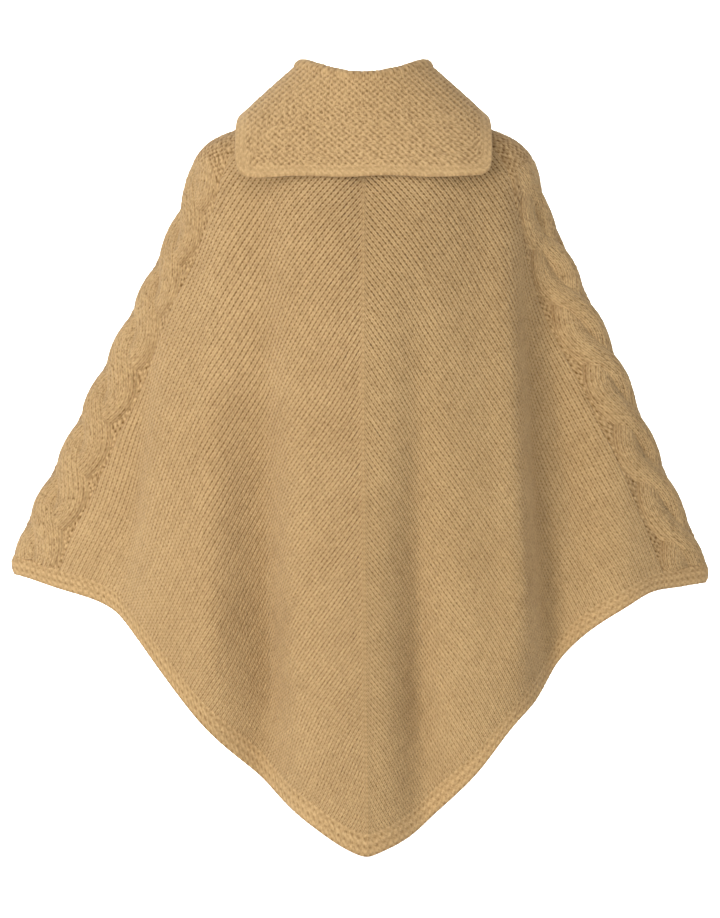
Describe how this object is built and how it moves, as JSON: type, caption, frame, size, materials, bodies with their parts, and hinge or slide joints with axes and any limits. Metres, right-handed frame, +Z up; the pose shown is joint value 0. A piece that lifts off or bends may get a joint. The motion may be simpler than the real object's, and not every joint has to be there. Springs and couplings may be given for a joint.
{
  "type": "knitted poncho sweater",
  "caption": "Knitted poncho sweater with V-shaped courses, a centre spine, rope cables down the shoulder and arm lines, a pointed hem and a squared turned-down collar.",
  "frame": {"origin": "centre of the base of the neck, where the wearer's neck and shoulders hold the poncho", "axes": "+Z up, the front faces -Y, and the wearer's left is at +X"},
  "size_m": [0.8481, 0.3361, 0.938],
  "materials": {
    "front": "matt camel wool knit",
    "back": "matt camel wool knit",
    "cable_panel_left": "matt camel wool knit",
    "cable_panel_right": "matt camel wool knit",
    "collar": "matt camel wool knit"
  },
  "bodies": {
    "root": {"front": "front", "back": "back", "cable_panel_left": "cable_panel_left", "cable_panel_right": "cable_panel_right", "collar": "collar"}
  },
  "joints": []
}
